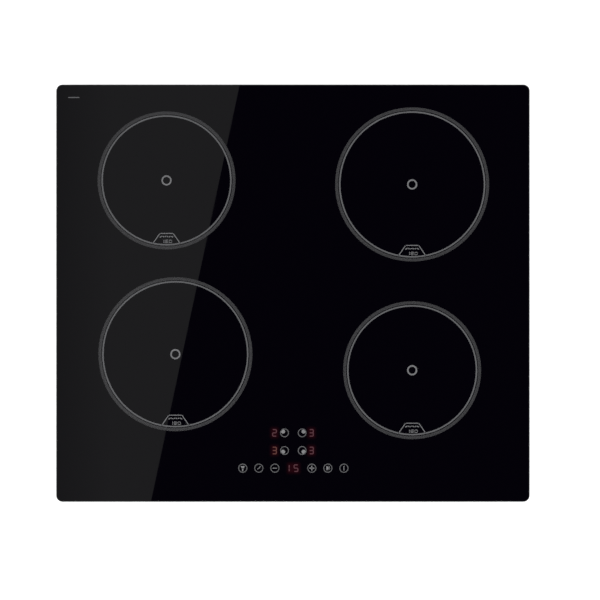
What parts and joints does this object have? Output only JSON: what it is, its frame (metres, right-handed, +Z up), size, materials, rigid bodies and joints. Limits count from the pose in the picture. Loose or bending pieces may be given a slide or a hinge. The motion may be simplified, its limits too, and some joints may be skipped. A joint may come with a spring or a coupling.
{
  "type": "induction hob",
  "caption": "Built-in induction hob: black ceramic glass with printed cooking zones and touch controls over a vented sheet casing with clamps, coils and blowers.",
  "frame": {"origin": "under the middle of the glass, in the plane of the casing's flat bottom", "axes": "+Z up through the glass, -Y towards the cook, +X to the cook's right"},
  "size_m": [0.59, 0.52, 0.0601],
  "materials": {
    "ceramic_glass": "polished black",
    "enamel_print": "fired grey enamel",
    "seal_foam": "closed-cell foam",
    "silicone": "cured silicone",
    "galvanised_sheet": "galvanised, faint spangle",
    "zinc_steel": "zinc plated",
    "circuit_board": "solder mask",
    "heatsink_aluminium": "extruded",
    "epoxy_package": "moulded epoxy",
    "capacitor_case": "moulded case",
    "choke_winding": "enamelled copper wire on a ring core",
    "spring_steel": "drawn spring wire",
    "black_plastic": "moulded, fine grain",
    "display_case": "dark filter face",
    "ribbon_grey": "flat ribbon",
    "grey_plastic": "moulded, fine grain",
    "terminal_plastic": "glass-filled nylon",
    "deck_aluminium": "mill finish",
    "ferrite": "sintered ferrite",
    "former_plastic": "glass-filled polyester",
    "copper_litz": "twisted enamelled copper strands",
    "mica": "pressed mica flakes",
    "sensor_ceramic": "ceramic cap"
  },
  "bodies": {
    "base": {"glass_panel": "ceramic_glass", "ceramic_print": "enamel_print", "sealing_strip": "seal_foam", "adhesive_bead": "silicone", "support_frame": "galvanised_sheet", "bottom_casing": "galvanised_sheet", "clamp_brackets": "galvanised_sheet", "casing_screws": "zinc_steel", "power_boards": "circuit_board", "control_board": "circuit_board", "heatsinks": "heatsink_aluminium", "power_transistors": "epoxy_package", "film_capacitors": "capacitor_case", "filter_chokes": "choke_winding", "coil_springs": "spring_steel", "touch_springs": "spring_steel", "fan_housing_left": "black_plastic", "fan_housing_right": "black_plastic", "display_modules": "display_case", "ribbon_cables": "ribbon_grey", "control_carrier": "grey_plastic", "terminal_box": "grey_plastic", "terminal_block": "terminal_plastic", "coil_deck_left": "deck_aluminium", "coil_deck_right": "deck_aluminium"},
    "coil_rear_left": {"coil_plate_rear_left": "deck_aluminium", "ferrite_bars_rear_left": "ferrite", "coil_former_rear_left": "former_plastic", "coil_winding_rear_left": "copper_litz", "mica_sheet_rear_left": "mica", "thermistor_rear_left": "sensor_ceramic"},
    "coil_rear_right": {"coil_plate_rear_right": "deck_aluminium", "ferrite_bars_rear_right": "ferrite", "coil_former_rear_right": "former_plastic", "coil_winding_rear_right": "copper_litz", "mica_sheet_rear_right": "mica", "thermistor_rear_right": "sensor_ceramic"},
    "coil_front_left": {"coil_plate_front_left": "deck_aluminium", "ferrite_bars_front_left": "ferrite", "coil_former_front_left": "former_plastic", "coil_winding_front_left": "copper_litz", "mica_sheet_front_left": "mica", "thermistor_front_left": "sensor_ceramic"},
    "coil_front_right": {"coil_plate_front_right": "deck_aluminium", "ferrite_bars_front_right": "ferrite", "coil_former_front_right": "former_plastic", "coil_winding_front_right": "copper_litz", "mica_sheet_front_right": "mica", "thermistor_front_right": "sensor_ceramic"},
    "clamp_screw_rear_right": {"clamp_screw_rear_right": "zinc_steel"},
    "clamp_arm_rear_right": {"clamp_arm_rear_right": "zinc_steel"},
    "clamp_screw_front_right": {"clamp_screw_front_right": "zinc_steel"},
    "clamp_arm_front_right": {"clamp_arm_front_right": "zinc_steel"},
    "clamp_screw_front_left": {"clamp_screw_front_left": "zinc_steel"},
    "clamp_arm_front_left": {"clamp_arm_front_left": "zinc_steel"},
    "clamp_screw_rear_left": {"clamp_screw_rear_left": "zinc_steel"},
    "clamp_arm_rear_left": {"clamp_arm_rear_left": "zinc_steel"},
    "fan_left": {"fan_rotor_left": "black_plastic"},
    "fan_right": {"fan_rotor_right": "black_plastic"},
    "terminal_cover": {"terminal_cover": "grey_plastic"}
  },
  "joints": [
    {"name": "coil_float_rear_left", "type": "slide", "parent": "base", "child": "coil_rear_left", "axis": [0, 0, 1], "range_m": [-0.003, 0], "stiffness_N_per_m": 3500, "springref_m": 0.004, "deforming": ["coil_springs"]},
    {"name": "coil_float_rear_right", "type": "slide", "parent": "base", "child": "coil_rear_right", "axis": [0, 0, 1], "range_m": [-0.003, 0], "stiffness_N_per_m": 3500, "springref_m": 0.004, "deforming": ["coil_springs"]},
    {"name": "coil_float_front_left", "type": "slide", "parent": "base", "child": "coil_front_left", "axis": [0, 0, 1], "range_m": [-0.003, 0], "stiffness_N_per_m": 3500, "springref_m": 0.004, "deforming": ["coil_springs"]},
    {"name": "coil_float_front_right", "type": "slide", "parent": "base", "child": "coil_front_right", "axis": [0, 0, 1], "range_m": [-0.003, 0], "stiffness_N_per_m": 3500, "springref_m": 0.004, "deforming": ["coil_springs"]},
    {"name": "clamp_turn_rear_right", "type": "hinge", "parent": "base", "child": "clamp_screw_rear_right", "pos_m": [0.268, 0.166, 0.0155], "axis": [0, 0, 1], "range_deg": [0, 90]},
    {"name": "clamp_lift_rear_right", "type": "slide", "parent": "clamp_screw_rear_right", "child": "clamp_arm_rear_right", "axis": [0, 0, 1], "range_m": [0, 0.014]},
    {"name": "clamp_turn_front_right", "type": "hinge", "parent": "base", "child": "clamp_screw_front_right", "pos_m": [0.268, -0.124, 0.0155], "axis": [0, 0, 1], "range_deg": [0, 90]},
    {"name": "clamp_lift_front_right", "type": "slide", "parent": "clamp_screw_front_right", "child": "clamp_arm_front_right", "axis": [0, 0, 1], "range_m": [0, 0.014]},
    {"name": "clamp_turn_front_left", "type": "hinge", "parent": "base", "child": "clamp_screw_front_left", "pos_m": [-0.268, -0.166, 0.0155], "axis": [0, 0, 1], "range_deg": [0, 90]},
    {"name": "clamp_lift_front_left", "type": "slide", "parent": "clamp_screw_front_left", "child": "clamp_arm_front_left", "axis": [0, 0, 1], "range_m": [0, 0.014]},
    {"name": "clamp_turn_rear_left", "type": "hinge", "parent": "base", "child": "clamp_screw_rear_left", "pos_m": [-0.268, 0.124, 0.0155], "axis": [0, 0, 1], "range_deg": [0, 90]},
    {"name": "clamp_lift_rear_left", "type": "slide", "parent": "clamp_screw_rear_left", "child": "clamp_arm_rear_left", "axis": [0, 0, 1], "range_m": [0, 0.014]},
    {"name": "fan_spin_left", "type": "hinge", "parent": "base", "child": "fan_left", "pos_m": [-0.15, 0.135, 0.0147], "axis": [0, 0, 1], "continuous": true},
    {"name": "fan_spin_right", "type": "hinge", "parent": "base", "child": "fan_right", "pos_m": [0.15, 0.135, 0.0147], "axis": [0, 0, 1], "continuous": true},
    {"name": "terminal_cover_hinge", "type": "hinge", "parent": "base", "child": "terminal_cover", "pos_m": [0, 0.1848, 0.0022], "axis": [-1, 0, 0], "range_deg": [0, 100]}
  ]
}
